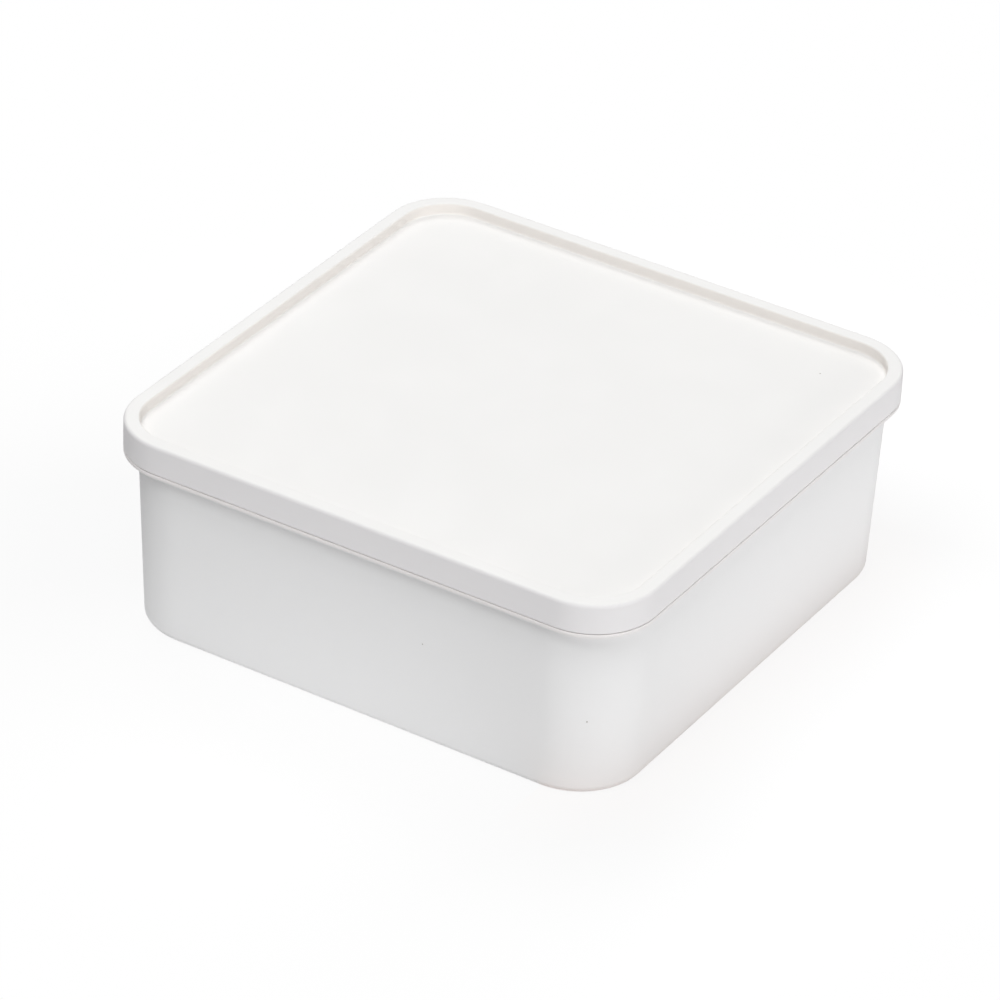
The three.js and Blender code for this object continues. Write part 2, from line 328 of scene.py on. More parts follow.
def moulded_plastic(name, pale, deep, rough, rubbed_rough, grain_width, grain_height):
    """White plastic with the mould's skin: pale and deep are the ends of its slow change of tone."""
    material = bpy.data.materials.new(name)
    material.use_nodes = True
    tree = material.node_tree
    tree.nodes.clear()
    values = {"Grain Width": grain_width, "Speck Spacing": dust_spacing, "Speck Width": dust_width}
    skin = add(tree, "ShaderNodeGroup", values, node_tree=mould_skin)
    values = {0: skin.outputs["Tone"], 6: (*deep, 1), 7: (*pale, 1)}
    colour = add(tree, "ShaderNodeMix", values, data_type="RGBA")
    values = {0: skin.outputs["Specks"], 6: colour.outputs[2], 7: (*dust_tone, 1)}
    dusty = add(tree, "ShaderNodeMix", values, data_type="RGBA")
    values = {"Value": skin.outputs["Rubbed"], "To Min": rough, "To Max": rubbed_rough}
    roughness = add(tree, "ShaderNodeMapRange", values)
    values = {"Height": skin.outputs["Grain"], "Strength": plastic_grain_strength, "Distance": grain_height}
    bump = add(tree, "ShaderNodeBump", values)
    values = {"Base Color": dusty.outputs[2], "Roughness": roughness.outputs[0], "Normal": bump.outputs[0]}
    plastic = add(tree, "ShaderNodeBsdfPrincipled", values)
    plastic.inputs["IOR"].default_value = polypropylene_ior
    add(tree, "ShaderNodeOutputMaterial", {"Surface": plastic.outputs[0]})
    return material


tub_plastic = moulded_plastic(
    "white_polypropylene_tub",
    pale=(0.898, 0.898, 0.901),
    deep=(0.876, 0.876, 0.879),
    rough=0.62,
    rubbed_rough=0.54,
    grain_width=0.45 * mm,
    grain_height=0.02 * mm,
)

# A faint warm cast of light is painted on the flange, where light bleeds into the plastic at the seam.
flange_warm_light = (0.89, 0.861, 0.857)
tree = tub_plastic.node_tree
surface = tree.nodes["Principled BSDF"].inputs["Base Color"]
bare = surface.links[0].from_socket
on_tub = add(tree, "ShaderNodeTexCoord").outputs["Object"]
height = add(tree, "ShaderNodeSeparateXYZ", {0: on_tub}).outputs["Z"]
values = {"Value": height, "From Min": flange_foot - flange_root_radius, "From Max": flange_foot}
on_flange = add(tree, "ShaderNodeMapRange", values).outputs[0]
warm_lit_flange = add(tree, "ShaderNodeMix", {0: on_flange, 6: bare, 7: (*flange_warm_light, 1)}, data_type="RGBA")
tree.links.new(warm_lit_flange.outputs[2], surface)

tub_inside = round_corners([
    (inner_wall(floor_top) + floor_radius + flat_margin, floor_top, 0),
    (inner_wall(floor_top), floor_top, floor_radius),
    (inner_wall(flange_top), flange_top, mouth_radius),
    (inner_wall(flange_top) - flange_land, flange_top, 0),
])
tub_flange = round_corners([
    (flange_land, flange_top, 0),
    (0, flange_top, flange_edge_radius),
    (0, flange_foot, flange_edge_radius),
    (flange_land, flange_foot, 0),
])
foot_inset = outer_wall(0) + base_radius + foot_width
tub_outside = round_corners([
    (-flange_land, flange_foot, 0),
    (0, flange_foot, flange_root_radius),
    (outer_wall(0), 0, base_radius),
    (foot_inset, 0, foot_edge_radius),
    (foot_inset + foot_height, foot_height, foot_edge_radius),
    (foot_inset + foot_height + flat_margin, foot_height, 0),
])
tub_section = section_line(
    "tub_section",
    [(wall_outline, tub_inside), (flange_outline, tub_flange), (wall_outline, tub_outside)],
)
tub = grow(
    "tub",
    tub_section,
    carried_section,
    corner_steps=corner_steps,
    straight_margin=flat_margin,
    loop=False,
    material=tub_plastic,
)
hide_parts("outer_box")
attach(tub, "box")


# Guide ribs: eight low ribs that stand in pairs at the middle of each wall and hold the ends of the dividers.
# They are moulded in one with the tub, out of its wall and floor, with a sloped top that leads a panel in.
divider_thickness = 2 * mm
rib_width = 1.6 * mm
rib_depth = 2.6 * mm
rib_bite = 1.2 * mm
rib_below_mouth = 11 * mm
rib_top = flange_top - rib_below_mouth
rib_edge_radius = 0.45 * mm
rib_root_radius = 0.1 * mm
rib_shoulder_radius = 1.2 * mm
rib_count = 8
slot_clearance = 0.4 * mm
rib_offset = divider_thickness / 2 + slot_clearance + rib_width / 2
tightest_radius = 0.05 * mm
close_hold = 0.08 * mm


def moved_in(corners, depth):
    """A closed anticlockwise line of (x, z, radius) corners moved in: its outer corners get tighter."""
    moved = []
    for before, here, after in zip(corners[-1:] + corners[:-1], corners, corners[1:] + corners[:1]):
        coming = (Vector(here[:2]) - Vector(before[:2])).normalized()
        going = (Vector(after[:2]) - Vector(here[:2])).normalized()
        inward = coming.orthogonal() + going.orthogonal()
        place = Vector(here[:2]) + inward * depth / (1 + coming.dot(going))
        radius = here[2] - math.copysign(depth, coming.cross(going))
        moved.append((*place, max(radius, tightest_radius)))
    return moved


def slab(name, corners, thickness, edge_radius, edge_steps=3):
    """A flat panel in the XZ plane from a closed anticlockwise line of (x, z, radius) corners.

    Its edges are rounded over: each row lies at a place across the panel and is moved in by a depth.
    """
    near_edge = []
    for step in range(edge_steps + 1):
        bend = math.pi / 2 * step / edge_steps
        place = edge_radius * (1 - math.cos(bend)) - thickness / 2
        near_edge.append((place, edge_radius * (1 - math.sin(bend))))
    far_edge = [(-place, depth) for place, depth in reversed(near_edge)]
    sheet = bmesh.new()
    rows = []
    for place, depth in near_edge + far_edge:
        line = moved_in(corners, depth)
        line = round_corners([line[-1], *line, line[0]], hold=close_hold)[1:-1]
        rows.append([sheet.verts.new((point.x, place, point.y)) for point in line])
    for row, next_row in zip(rows, rows[1:]):
        for i in range(len(row)):
            sheet.faces.new((row[i - 1], row[i], next_row[i], next_row[i - 1])).smooth = True
    sheet.faces.new(rows[0])
    sheet.faces.new(rows[-1])
    bmesh.ops.recalc_face_normals(sheet, faces=sheet.faces)
    mesh = bpy.data.meshes.new(name)
    sheet.to_mesh(mesh)
    sheet.free()
    return mesh


# Two ribs to a wall: even and odd points stand either side of the slot, each next pair a quarter turn on.
rib_ring = bpy.data.node_groups.new("Rib Ring", "GeometryNodeTree")
socket(rib_ring, "INPUT", "Geometry", "Rib")
socket(rib_ring, "INPUT", "Int", "Rib Count")
socket(rib_ring, "INPUT", "Float", "Half Length")
socket(rib_ring, "INPUT", "Float", "Half Width")
socket(rib_ring, "INPUT", "Float", "Rib Offset")
socket(rib_ring, "INPUT", "Material", "Material")
socket(rib_ring, "OUTPUT", "Geometry", "Geometry")
given = add(rib_ring, "NodeGroupInput").outputs
index = add(rib_ring, "GeometryNodeInputIndex").outputs[0]
quarter = calc(rib_ring, "FLOOR", calc(rib_ring, "DIVIDE", index, 2))
turn = calc(rib_ring, "MULTIPLY", quarter, math.pi / 2)
side = calc(rib_ring, "SUBTRACT", calc(rib_ring, "MULTIPLY", calc(rib_ring, "MODULO", index, 2), 2), 1)
shift = calc(rib_ring, "MULTIPLY", side, given["Rib Offset"])
across = calc(rib_ring, "COSINE", turn)
along = calc(rib_ring, "SINE", turn)
wall_x = calc(rib_ring, "MULTIPLY", across, given["Half Length"])
wall_y = calc(rib_ring, "MULTIPLY", along, given["Half Width"])
place_x = calc(rib_ring, "SUBTRACT", wall_x, calc(rib_ring, "MULTIPLY", along, shift))
place_y = calc(rib_ring, "ADD", wall_y, calc(rib_ring, "MULTIPLY", across, shift))
place = add(rib_ring, "ShaderNodeCombineXYZ", {"X": place_x, "Y": place_y}).outputs[0]
spots = add(rib_ring, "GeometryNodePoints", {"Count": given["Rib Count"], "Position": place}).outputs[0]
facing = add(rib_ring, "ShaderNodeCombineXYZ", {"Z": turn}).outputs[0]
facing = add(rib_ring, "FunctionNodeEulerToRotation", {"Euler": facing}).outputs[0]
values = {"Points": spots, "Instance": given["Rib"], "Rotation": facing}
placed = add(rib_ring, "GeometryNodeInstanceOnPoints", values)
real = add(rib_ring, "GeometryNodeRealizeInstances", {"Geometry": placed.outputs[0]})
values = {"Geometry": real.outputs[0], "Material": given["Material"]}
finished = add(rib_ring, "GeometryNodeSetMaterial", values)
add(rib_ring, "NodeGroupOutput", {"Geometry": finished.outputs[0]})

one_rib = slab(
    "one_rib",
    [
        (rib_bite - inner_wall(floor_top), floor_top - rib_bite, rib_root_radius),
        (rib_bite - inner_wall(rib_top), rib_top, rib_root_radius),
        (-inner_wall(rib_top), rib_top, rib_root_radius),
        (-inner_wall(rib_top - rib_depth) - rib_depth, rib_top - rib_depth, rib_shoulder_radius),
        (-inner_wall(floor_top) - rib_depth, floor_top - rib_bite, rib_root_radius),
    ],
    rib_width,
    rib_edge_radius,
)
ribs = grow(
    "guide_ribs",
    one_rib,
    rib_ring,
    rib_count=rib_count,
    half_length=wall_outline.x,
    half_width=wall_outline.y,
    rib_offset=rib_offset,
    material=tub_plastic,
)
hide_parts("outer_box")
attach(ribs, "box")


# Mould marks in the tub: the round prints of the ejector pins on the floor, and the gate's nub underneath.
# They are part of the moulding: the pins push the tub off the core, and the nub is where the plastic came in.
pin_radius = 4 * mm
pin_edge = 0.15 * mm
pin_step = 0.06 * mm
pin_spacing = 44 * mm
pins_each_way = 4
gate_radius = 2.5 * mm
gate_step = 0.35 * mm
gate_edge = 0.1 * mm
nub_root_radius = 1.5 * mm
nub_root_step = 0.14 * mm
nub_radius = 1.25 * mm
nub_hollow_step = 0.28 * mm


def round_mark(name, profile, segments=32):
    """A closed round body from a line of (radius, height) points that starts and ends on the axis."""
    lathe = bmesh.new()
    line = [lathe.verts.new((radius, 0, height)) for radius, height in profile]
    edges = [lathe.edges.new(pair) for pair in zip(line, line[1:])]
    full_turn = 2 * math.pi
    bmesh.ops.spin(lathe, geom=line + edges, axis=(0, 0, 1), cent=(0, 0, 0), angle=full_turn, steps=segments)
    bmesh.ops.remove_doubles(lathe, verts=lathe.verts, dist=weld_distance)
    mesh = bpy.data.meshes.new(name)
    lathe.to_mesh(mesh)
    lathe.free()
    return mesh


# Marks in a square grid on a level face, the same number each way.
mark_grid = bpy.data.node_groups.new("Mark Grid", "GeometryNodeTree")
socket(mark_grid, "INPUT", "Geometry", "Mark")
socket(mark_grid, "INPUT", "Int", "Count")
socket(mark_grid, "INPUT", "Float", "Spacing")
socket(mark_grid, "INPUT", "Float", "Height")
socket(mark_grid, "INPUT", "Material", "Material")
socket(mark_grid, "OUTPUT", "Geometry", "Geometry")
given = add(mark_grid, "NodeGroupInput").outputs
number = add(mark_grid, "GeometryNodeInputIndex").outputs[0]
total = calc(mark_grid, "MULTIPLY", given["Count"], given["Count"])
grid_middle = calc(mark_grid, "DIVIDE", calc(mark_grid, "SUBTRACT", given["Count"], 1), 2)
column = calc(mark_grid, "MODULO", number, given["Count"])
row = calc(mark_grid, "FLOOR", calc(mark_grid, "DIVIDE", number, given["Count"]))
place_x = calc(mark_grid, "MULTIPLY", calc(mark_grid, "SUBTRACT", column, grid_middle), given["Spacing"])
place_y = calc(mark_grid, "MULTIPLY", calc(mark_grid, "SUBTRACT", row, grid_middle), given["Spacing"])
values = {"X": place_x, "Y": place_y, "Z": given["Height"]}
place = add(mark_grid, "ShaderNodeCombineXYZ", values).outputs[0]
spots = add(mark_grid, "GeometryNodePoints", {"Count": total, "Position": place}).outputs[0]
placed = add(mark_grid, "GeometryNodeInstanceOnPoints", {"Points": spots, "Instance": given["Mark"]})
real = add(mark_grid, "GeometryNodeRealizeInstances", {"Geometry": placed.outputs[0]})
values = {"Geometry": real.outputs[0], "Material": given["Material"]}
finished = add(mark_grid, "GeometryNodeSetMaterial", values)
add(mark_grid, "NodeGroupOutput", {"Geometry": finished.outputs[0]})

pin_profile = [
    (0, pin_step),
    (pin_radius - pin_edge, pin_step),
    (pin_radius, 0),
    (pin_radius - pin_edge, -pin_step),
    (0, -pin_step),
]
floor_marks = grow(
    "floor_pin_marks",
    round_mark("floor_pin_mark", pin_profile),
    mark_grid,
    count=pins_each_way,
    spacing=pin_spacing,
    height=floor_top,
    material=tub_plastic,
)
gate_profile = [
    (0, gate_step),
    (gate_radius, gate_step),
    (gate_radius, -gate_edge),
    (nub_root_radius, -nub_root_step),
    (nub_radius, -gate_step),
    (0, -nub_hollow_step),
]
gate_mark = grow(
    "gate_mark",
    round_mark("gate_nub", gate_profile),
    mark_grid,
    count=1,
    spacing=pin_spacing,
    height=foot_height,
    material=tub_plastic,
)
for mark in (floor_marks, gate_mark):
    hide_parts("outer_box")
    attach(mark, "box")


# Dividers: two flat panels of white plastic that cross in the middle of the tub and part it into four.
# Each is moulded with a round bead along the top to lift it by, and its ends stand between the guide ribs.
# They are halved over each other: the lower one is slotted from above and the upper one from below.
divider_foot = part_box("lower_divider")[0][2]
divider_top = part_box("lower_divider")[1][2]
divider_edge_radius = 0.4 * mm
seat_gap = divider_foot - floor_top
bead_radius = 2 * mm
bead_height = divider_top - bead_radius
plug_foot = lid_low[2]
plug_clearance = 1.1 * mm
plug_thickness = 2.4 * mm
plug_inset = wall_thickness + plug_clearance
plug_inner = plug_inset + plug_thickness
notch_clearance = 0.8 * mm
notch_radius = 1.5 * mm
notch_floor = plug_foot - notch_clearance
lap_height = (divider_foot + divider_top) / 2
lap_clearance = 0.3 * mm
slot_half = divider_thickness / 2 + lap_clearance
bead_slot_half = bead_radius + lap_clearance
bead_slot_foot = divider_top - 2 * bead_radius - lap_clearance
slot_radius = 0.5 * mm
ledge_radius = 0.3 * mm

divider_plastic = moulded_plastic(
    "white_polypropylene_divider",
    pale=(0.84, 0.835, 0.82),
    deep=(0.81, 0.805, 0.785),
    rough=0.52,
    rubbed_rough=0.44,
    grain_width=0.5 * mm,
    grain_height=0.02 * mm,
)


def bead(start, end):
    """A round bead with domed ends at the top of a panel, from start to end along X."""
    rod = bmesh.new()
    bmesh.ops.create_uvsphere(rod, u_segments=24, v_segments=15, radius=bead_radius)
    bmesh.ops.rotate(rod, verts=rod.verts, matrix=Matrix.Rotation(math.pi / 2, 3, "Y"))
    for vertex in rod.verts:
        vertex.co.x += end - bead_radius if vertex.co.x > 0 else start + bead_radius
        vertex.co.z += bead_height
    for face in rod.faces:
        face.smooth = True
    return rod


def divider(name, half_line, beads, quarter_turns):
    """A panel with the corners of half_line on its right half and their mirror image on its left half."""
    mirrored = [(-x, z, radius) for x, z, radius in reversed(half_line)]
    mesh = slab(name, half_line + mirrored, divider_thickness, divider_edge_radius)
    body = bmesh.new()
    body.from_mesh(mesh)
    for start, end in beads:
        rod = bead(start, end)
        rod_mesh = bpy.data.meshes.new(name + "_bead")
        rod.to_mesh(rod_mesh)
        rod.free()
        body.from_mesh(rod_mesh)
        bpy.data.meshes.remove(rod_mesh)
    bmesh.ops.rotate(body, verts=body.verts, matrix=Matrix.Rotation(quarter_turns * math.pi / 2, 3, "Z"))
    body.to_mesh(mesh)
    body.free()
    mesh.materials.append(divider_plastic)
    piece = bpy.data.objects.new(name, mesh)
    bpy.context.scene.collection.objects.link(piece)
    return piece


def divider_end(half_size):
    """How far the notch lies from the middle, and the corners of a panel's end from its foot up round it.

    The notch clears the lid's plug.
    """
    reach = half_size - seat_gap
    notch = half_size - plug_inner - notch_clearance
    return notch, [
        (reach - inner_wall(divider_foot), divider_foot, floor_radius - seat_gap),
        (reach - inner_wall(notch_floor), notch_floor, slot_radius),
        (notch, notch_floor, notch_radius),
        (notch, bead_height, slot_radius),
    ]


lower_notch, lower_end = divider_end(wall_outline.x)
lower_divider = divider(
    "lower_divider_panel",
    lower_end + [
        (bead_slot_half, bead_height, slot_radius),
        (bead_slot_half, bead_slot_foot, ledge_radius),
        (slot_half, bead_slot_foot, ledge_radius),
        (slot_half, lap_height, slot_radius),
    ],
    beads=[(-lower_notch, -bead_slot_half), (bead_slot_half, lower_notch)],
    quarter_turns=0,
)
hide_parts("lower_divider")
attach(lower_divider, "lower_divider_panel")

upper_notch, upper_end = divider_end(wall_outline.y)
upper_divider = divider(
    "upper_divider_panel",
    [
        (slot_half, lap_height + lap_clearance, slot_radius),
        (slot_half, divider_foot, slot_radius),
    ] + upper_end,
    beads=[(-upper_notch, upper_notch)],
    quarter_turns=1,
)
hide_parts("upper_divider")
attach(upper_divider, "upper_divider_panel")


# Lid: a square tray-top with a raised rim, a skirt that stands on the flange and a plug ring below.
# It is moulded in one piece in the same white plastic, and its rim is cored out from below to keep the
# walls even. The skirt settles a little way towards the flange, so that only a fine seam shows.
lid_top = lid_high[2]
skirt_height = 10.6 * mm
skirt_settle = 0.14 * mm
skirt_foot = lid_top - skirt_height - skirt_settle
skirt_thickness = 1.8 * mm
skirt_edge_radius = 0.4 * mm
top_edge_radius = 1.3 * mm
rim_width = 5.4 * mm
rim_thickness = 2.1 * mm
rim_inner_radius = 0.8 * mm
rim_underside = lid_top - rim_thickness
recess_depth = 4 * mm
recess_floor = lid_top - recess_depth
recess_radius = 0.8 * mm
recess_wall_thickness = 1.6 * mm
core_inset = rim_width - recess_wall_thickness
core_radius = 0.4 * mm
plate_thickness = 2 * mm
plate_underside = recess_floor - plate_thickness
plug_root_radius = 0.6 * mm
plug_lead_in = 0.6 * mm
groove_above_plug_foot = 1.3 * mm
groove_height = 2.6 * mm
groove_depth = 1 * mm
groove_foot = plug_foot + groove_above_plug_foot
groove_top = groove_foot + groove_height
groove_inset = plug_inset + groove_depth
groove_radius = 0.12 * mm

lid_plastic = moulded_plastic(
    "white_polypropylene_lid",
    pale=(0.885, 0.879, 0.868),
    deep=(0.862, 0.856, 0.844),
    rough=0.62,
    rubbed_rough=0.54,
    grain_width=0.4 * mm,
    grain_height=0.018 * mm,
)

# Painted shade darkens the plate a little, most at its middle. A faint tan painted shade lies along
# the inner wall of the rim, down in the recess, and a fainter painted warm reflection lies on the skirt.
plate_shade = (0.835, 0.832, 0.826)
plate_shade_share = 0.3
plate_shade_reach = 0.12
recess_shade_tone = (0.855, 0.82, 0.785)
recess_shade_full = 0.1 * mm
recess_shade_end = 0.55 * mm
recess_shade_below_floor = 0.1 * mm
skirt_warm_reflection = (0.884, 0.869, 0.877)
skirt_warm_reflection_full = 0.2 * mm
skirt_warm_reflection_end = 0.9 * mm
tree = lid_plastic.node_tree
surface = tree.nodes["Principled BSDF"].inputs["Base Color"]
bare = surface.links[0].from_socket
on_lid = add(tree, "ShaderNodeTexCoord").outputs["Object"]
# Painted shade: the plate is darker towards its middle.
values = {"Vector": on_lid, "Location": (0, 0, recess_floor), "Scale": [plate_shade_reach] * 3}
from_middle = add(tree, "ShaderNodeMapping", values, vector_type="TEXTURE").outputs[0]
at_middle = add(tree, "ShaderNodeTexGradient", {"Vector": from_middle}, gradient_type="SPHERICAL").outputs[1]
shade = calc(tree, "MULTIPLY", at_middle, plate_shade_share)
shaded = add(tree, "ShaderNodeMix", {0: shade, 6: bare, 7: (*plate_shade, 1)}, data_type="RGBA")
# Painted tan shade down in the recess, along the inner wall of the rim.
inset = add(tree, "ShaderNodeAttribute", attribute_name="inset").outputs["Fac"]
from_wall = calc(tree, "ABSOLUTE", calc(tree, "SUBTRACT", inset, rim_width))
values = {"Value": from_wall, "From Min": recess_shade_full, "From Max": recess_shade_end, "To Min": 1, "To Max": 0}
on_wall = add(tree, "ShaderNodeMapRange", values).outputs[0]
height = add(tree, "ShaderNodeSeparateXYZ", {0: on_lid}).outputs["Z"]
above_floor = calc(tree, "GREATER_THAN", height, recess_floor - recess_shade_below_floor)
recess_shade = calc(tree, "MULTIPLY", on_wall, above_floor)
recess_shaded = add(tree, "ShaderNodeMix", {0: recess_shade, 6: shaded.outputs[2], 7: (*recess_shade_tone, 1)}, data_type="RGBA")
# Painted warm reflection on the outside of the skirt.
values = {"Value": inset, "From Min": skirt_warm_reflection_full, "From Max": skirt_warm_reflection_end, "To Min": 1, "To Max": 0}
on_skirt = add(tree, "ShaderNodeMapRange", values).outputs[0]
skirt_reflected = add(tree, "ShaderNodeMix", {0: on_skirt, 6: recess_shaded.outputs[2], 7: (*skirt_warm_reflection, 1)}, data_type="RGBA")
tree.links.new(skirt_reflected.outputs[2], surface)

lid_outside = round_corners([
    (rim_width + recess_radius + flat_margin, recess_floor, 0),
    (rim_width, recess_floor, recess_radius),
    (rim_width, lid_top, rim_inner_radius),
    (0, lid_top, top_edge_radius),
    (0, skirt_foot, skirt_edge_radius),
    (skirt_thickness, skirt_foot, skirt_edge_radius),
    (skirt_thickness, rim_underside, core_radius),
    (core_inset, rim_underside, core_radius),
    (core_inset, plate_underside, groove_radius),
    (core_inset + plug_root_radius, plate_underside, 0),
])
lid_plug = round_corners([
    (plug_inset - 2 * plug_root_radius, plate_underside, 0),
    (plug_inset, plate_underside, plug_root_radius / 2),
    (plug_inset, groove_top, groove_radius),
    (groove_inset, groove_top, groove_radius),
    (groove_inset, groove_foot, groove_radius),
    (plug_inset, groove_foot, groove_radius),
    (plug_inset, plug_foot, plug_lead_in),
    (plug_inner, plug_foot, core_radius),
    (plug_inner, plate_underside, plug_root_radius),
    (plug_inner + flat_margin, plate_underside, 0),
])
lid_section = section_line("lid_section", [(lid_outline, lid_outside), (wall_outline, lid_plug)])
lid = grow(
    "lid_shell",
    lid_section,
    carried_section,
    corner_steps=corner_steps,
    straight_margin=flat_margin,
    loop=False,
    material=lid_plastic,
)
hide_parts("lid")
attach(lid, "lid_with_seal")


# Mould marks under the lid: the round prints of the ejector pins that push the lid off the core.
# They are part of the moulding and stand a hair's breadth proud of the plate's underside.
lid_pin_spacing = 48 * mm
plate_marks = grow(
    "plate_pin_marks",
    round_mark("plate_pin_mark", pin_profile),
    mark_grid,
    count=pins_each_way,
    spacing=lid_pin_spacing,
    height=plate_underside,
    material=lid_plastic,
)
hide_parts("lid")
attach(plate_marks, "lid_with_seal")


# Lid seal: a milky silicone ring pressed into the groove round the lid's plug.
# It is moulded as a ring and its round nose presses on the wall of the mouth all the way round.
seal_gap = 0.2 * mm
seal_half_height = (groove_top - groove_foot) / 2 - seal_gap
seal_middle = (groove_foot + groove_top) / 2
seal_nose = inner_wall(seal_middle) + seat_gap
seal_back = groove_inset - seal_gap
seal_nose_radius = 0.85 * mm
seal_back_radius = 0.15 * mm

milk_pale = (0.78, 0.78, 0.76)
milk_deep = (0.68, 0.68, 0.66)
lint_tone = (0.35, 0.33, 0.3)
lint_spacing = 12 * mm
lint_width = 0.2 * mm
rubber_rough = 0.7
rubber_rubbed_rough = 0.58
rubber_grain_width = 0.3 * mm
rubber_grain_height = 0.01 * mm
rubber_grain_strength = 0.4
rubber_ior = 1.41
silicone = bpy.data.materials.new("milky_silicone")
silicone.use_nodes = True
tree = silicone.node_tree
tree.nodes.clear()
values = {"Grain Width": rubber_grain_width, "Speck Spacing": lint_spacing, "Speck Width": lint_width}
seal_skin = add(tree, "ShaderNodeGroup", values, node_tree=mould_skin).outputs
values = {0: seal_skin["Tone"], 6: (*milk_deep, 1), 7: (*milk_pale, 1)}
milk = add(tree, "ShaderNodeMix", values, data_type="RGBA")
values = {0: seal_skin["Specks"], 6: milk.outputs[2], 7: (*lint_tone, 1)}
linty = add(tree, "ShaderNodeMix", values, data_type="RGBA")
values = {"Value": seal_skin["Rubbed"], "To Min": rubber_rough, "To Max": rubber_rubbed_rough}
roughness = add(tree, "ShaderNodeMapRange", values)
values = {"Height": seal_skin["Grain"], "Strength": rubber_grain_strength, "Distance": rubber_grain_height}
bump = add(tree, "ShaderNodeBump", values)
values = {"Base Color": linty.outputs[2], "Roughness": roughness.outputs[0], "Normal": bump.outputs[0]}
rubber = add(tree, "ShaderNodeBsdfPrincipled", values)
rubber.inputs["IOR"].default_value = rubber_ior
add(tree, "ShaderNodeOutputMaterial", {"Surface": rubber.outputs[0]})

seal_corners = [
    (seal_back, seal_middle + seal_half_height, seal_back_radius),
    (seal_nose, seal_middle + seal_half_height, seal_nose_radius),
    (seal_nose, seal_middle - seal_half_height, seal_nose_radius),
    (seal_back, seal_middle - seal_half_height, seal_back_radius),
]
seal_loop = round_corners([seal_corners[-1], *seal_corners, seal_corners[0]], hold=close_hold)[1:-1]
seal = grow(
    "seal_ring",
    section_line("seal_section", [(wall_outline, seal_loop)]),
    carried_section,
    corner_steps=corner_steps,
    straight_margin=flat_margin,
    loop=True,
    material=silicone,
)
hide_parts("lid_seal")
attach(seal, "lid_with_seal")


# Studio: a plain white table that keeps the container's soft shadow, lit by four softboxes, two high and two
# low. Pools of light on the table fill the walls, and a lit panel under the container shows its base.
# The camera stands where the photograph was taken from, with a long lens.
table_half = 0.32
table_top = -0.05 * mm
table_tone = (0.53, 0.53, 0.53)
# The next two set the painted warm shade on the table near the right foot.
foot_shade_tone = (0.56, 0.47, 0.43)
foot_shade_reach = 35 * mm
table_pools = [
    ((-0.01, -0.18, 0), (0.15, 0.15, 1), 0.7),
    ((0.21, 0.02, 0), (0.11, 0.26, 1), 0.65),
    ((0.16, 0.02, 0), (0.07, 0.26, 1), 0.62),
    ((0.17, -0.18, 0), (0.1, 0.1, 1), 0.5),
    ((0, 0.21, 0), (0.26, 0.11, 1), 1.4),
    ((-0.21, 0.13, 0), (0.11, 0.19, 1), 0.8),
]
panel_glow = 0.38
white_near = 0.9
near_from = 0.15
near_full = 0.6
white = (1, 1, 1, 1)


def shows_background(tree):
    """1 on the rays that show the background: from the camera, off a shiny surface or through a clear one."""
    rays = add(tree, "ShaderNodeLightPath").outputs
    beyond = calc(tree, "MAXIMUM", rays["Is Glossy Ray"], rays["Is Transmission Ray"])
    return calc(tree, "MAXIMUM", rays["Is Camera Ray"], beyond)


table_mesh = bpy.data.meshes.new("table")
table_corners = [
    (-table_half, -table_half, table_top),
    (table_half, -table_half, table_top),
    (table_half, table_half, table_top),
    (-table_half, table_half, table_top),
]
table_mesh.from_pydata(table_corners, [], [(0, 1, 2, 3)])
table = bpy.data.objects.new("table", table_mesh)
bpy.context.scene.collection.objects.link(table)
table_white = bpy.data.materials.new("table_white")
table_white.use_nodes = True
tree = table_white.node_tree
tree.nodes.clear()
on_table = add(tree, "ShaderNodeTexCoord").outputs["Object"]

# How far a place on the table lies outside the tub's outline, with less than nothing for a place inside it.
corner_centre = (wall_outline.x - wall_outline.z, wall_outline.y - wall_outline.z, 0)
one_quarter = add(tree, "ShaderNodeVectorMath", {0: on_table}, operation="ABSOLUTE").outputs[0]
values = {0: one_quarter, 1: corner_centre}
past_centre = add(tree, "ShaderNodeVectorMath", values, operation="SUBTRACT").outputs[0]
values = {0: past_centre, 1: (0, 0, 0)}
only_past = add(tree, "ShaderNodeVectorMath", values, operation="MAXIMUM").outputs[0]
distance_past = add(tree, "ShaderNodeVectorMath", {0: only_past}, operation="LENGTH").outputs["Value"]
from_tub = calc(tree, "SUBTRACT", distance_past, wall_outline.z)

# Painted warm shade on the table close to the right foot, which darkens the foot of the wall by its bounce.
values = {"Value": from_tub, "From Min": 0, "From Max": foot_shade_reach}
away_from_foot = add(tree, "ShaderNodeMapRange", values, interpolation_type="SMOOTHSTEP").outputs[0]
place_x = add(tree, "ShaderNodeSeparateXYZ", {0: on_table}).outputs["X"]
left_of_foot = calc(tree, "LESS_THAN", place_x, corner_centre[0])
outside_foot_shade = calc(tree, "MAXIMUM", away_from_foot, left_of_foot)
under_tub = calc(tree, "LESS_THAN", from_tub, -outer_wall(0) - base_radius)
values = {0: calc(tree, "MAXIMUM", outside_foot_shade, under_tub), 6: (*foot_shade_tone, 1), 7: (*table_tone, 1)}
table_tone_and_foot_shade = add(tree, "ShaderNodeMix", values, data_type="RGBA")
painted = add(tree, "ShaderNodeBsdfDiffuse", {"Color": table_tone_and_foot_shade.outputs[2]})

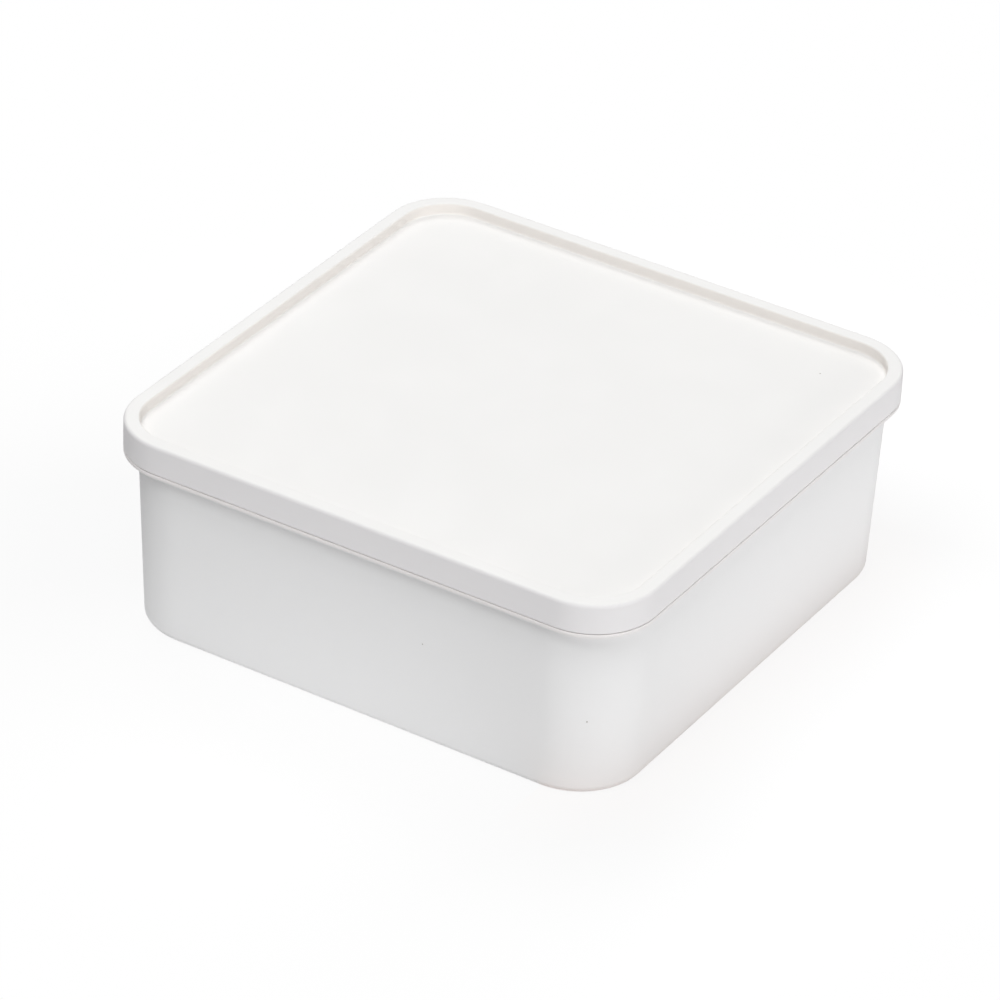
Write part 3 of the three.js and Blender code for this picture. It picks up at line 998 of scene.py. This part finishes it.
# Each pool is an ellipse with its middle, its half sizes and its light there, and fades out to its edge.
pool_glow = 0
for pool_middle, reach, pool_light in table_pools:
    values = {"Vector": on_table, "Location": pool_middle, "Scale": reach}
    in_pool = add(tree, "ShaderNodeMapping", values, vector_type="TEXTURE").outputs[0]
    pool = add(tree, "ShaderNodeTexGradient", {"Vector": in_pool}, gradient_type="SPHERICAL").outputs[1]
    pool_glow = calc(tree, "ADD", pool_glow, calc(tree, "MULTIPLY", pool, pool_light))
values = {0: under_tub, 2: pool_glow, 3: panel_glow}
glow = add(tree, "ShaderNodeMix", values, data_type="FLOAT").outputs[0]
glowing = add(tree, "ShaderNodeEmission", {"Color": white, "Strength": glow})
lit = add(tree, "ShaderNodeAddShader", {0: painted.outputs[0], 1: glowing.outputs[0]})

# Seen from above the table is white, with a share of what falls on it near the middle: the soft shadow.
backdrop_white = add(tree, "ShaderNodeEmission", {"Color": white, "Strength": 1})
values = {"Vector": on_table, "Scale": (table_half, table_half, 1)}
from_middle = add(tree, "ShaderNodeMapping", values, vector_type="TEXTURE").outputs[0]
near = add(tree, "ShaderNodeTexGradient", {"Vector": from_middle}, gradient_type="SPHERICAL").outputs[1]
values = {"Value": near, "From Min": near_from, "From Max": near_full, "To Min": 1, "To Max": white_near}
white_share = add(tree, "ShaderNodeMapRange", values, interpolation_type="SMOOTHSTEP").outputs[0]
shown_share = calc(tree, "MULTIPLY", shows_background(tree), white_share)
values = {0: shown_share, 1: lit.outputs[0], 2: backdrop_white.outputs[0]}
shown = add(tree, "ShaderNodeMixShader", values)

# Seen from below it is clear.
from_below = add(tree, "ShaderNodeNewGeometry").outputs["Backfacing"]
clear = add(tree, "ShaderNodeBsdfTransparent")
one_sided = add(tree, "ShaderNodeMixShader", {0: from_below, 1: shown.outputs[0], 2: clear.outputs[0]})
add(tree, "ShaderNodeOutputMaterial", {"Surface": one_sided.outputs[0]})
table_mesh.materials.append(table_white)

room_light = 0.22
room = bpy.data.worlds.new("room")
room.use_nodes = True
tree = room.node_tree
tree.nodes.clear()
direction = add(tree, "ShaderNodeTexCoord").outputs["Generated"]
upward = add(tree, "ShaderNodeSeparateXYZ", {0: direction}).outputs["Z"]
overhead = calc(tree, "MULTIPLY", calc(tree, "GREATER_THAN", upward, 0), room_light)
room_strength = calc(tree, "MAXIMUM", overhead, shows_background(tree))
backdrop = add(tree, "ShaderNodeBackground", {"Color": white, "Strength": room_strength})
add(tree, "ShaderNodeOutputWorld", {"Surface": backdrop.outputs[0]})
bpy.context.scene.world = room


def softbox(name, place, width, power):
    """A square area light that faces the middle of the container."""
    light = bpy.data.lights.new(name, "AREA")
    light.size = width
    light.energy = power
    lamp = bpy.data.objects.new(name, light)
    lamp.location = place
    lamp.rotation_euler = (Vector(place) - Vector((0, 0, lid_top / 2))).to_track_quat("Z", "Y").to_euler()
    bpy.context.scene.collection.objects.link(lamp)


softbox("key_softbox", place=(0.6, -2.6, 5.28), width=3.2, power=183)
softbox("back_softbox", place=(-2.4, 2.8, 4.68), width=3.2, power=138)
softbox("right_softbox", place=(5.6, -0.5, 0.8), width=1.6, power=82)
softbox("corner_softbox", place=(3.2, -4.4, 0.88), width=2, power=26)

camera_azimuth = math.radians(31.097)
camera_elevation = math.radians(32.181)
camera_roll = math.radians(2.603)
camera_aim = Vector((-2.572, -4.045, 35.257)) * mm
camera_distance = 1952.57 * mm
camera_lens = 210.16
camera_sensor = 36
photo_camera = bpy.data.cameras.new("photo_camera")
photo_camera.lens = camera_lens
photo_camera.sensor_width = camera_sensor
viewpoint = bpy.data.objects.new("photo_camera", photo_camera)
viewpoint.matrix_world = (
    Matrix.Translation(camera_aim)
    @ Matrix.Rotation(camera_azimuth, 4, "Z")
    @ Matrix.Rotation(math.pi / 2 - camera_elevation, 4, "X")
    @ Matrix.Rotation(camera_roll, 4, "Z")
    @ Matrix.Translation((0, 0, camera_distance))
)
bpy.context.scene.collection.objects.link(viewpoint)
bpy.context.scene.camera = viewpoint
bpy.context.scene.view_settings.view_transform = "Standard"
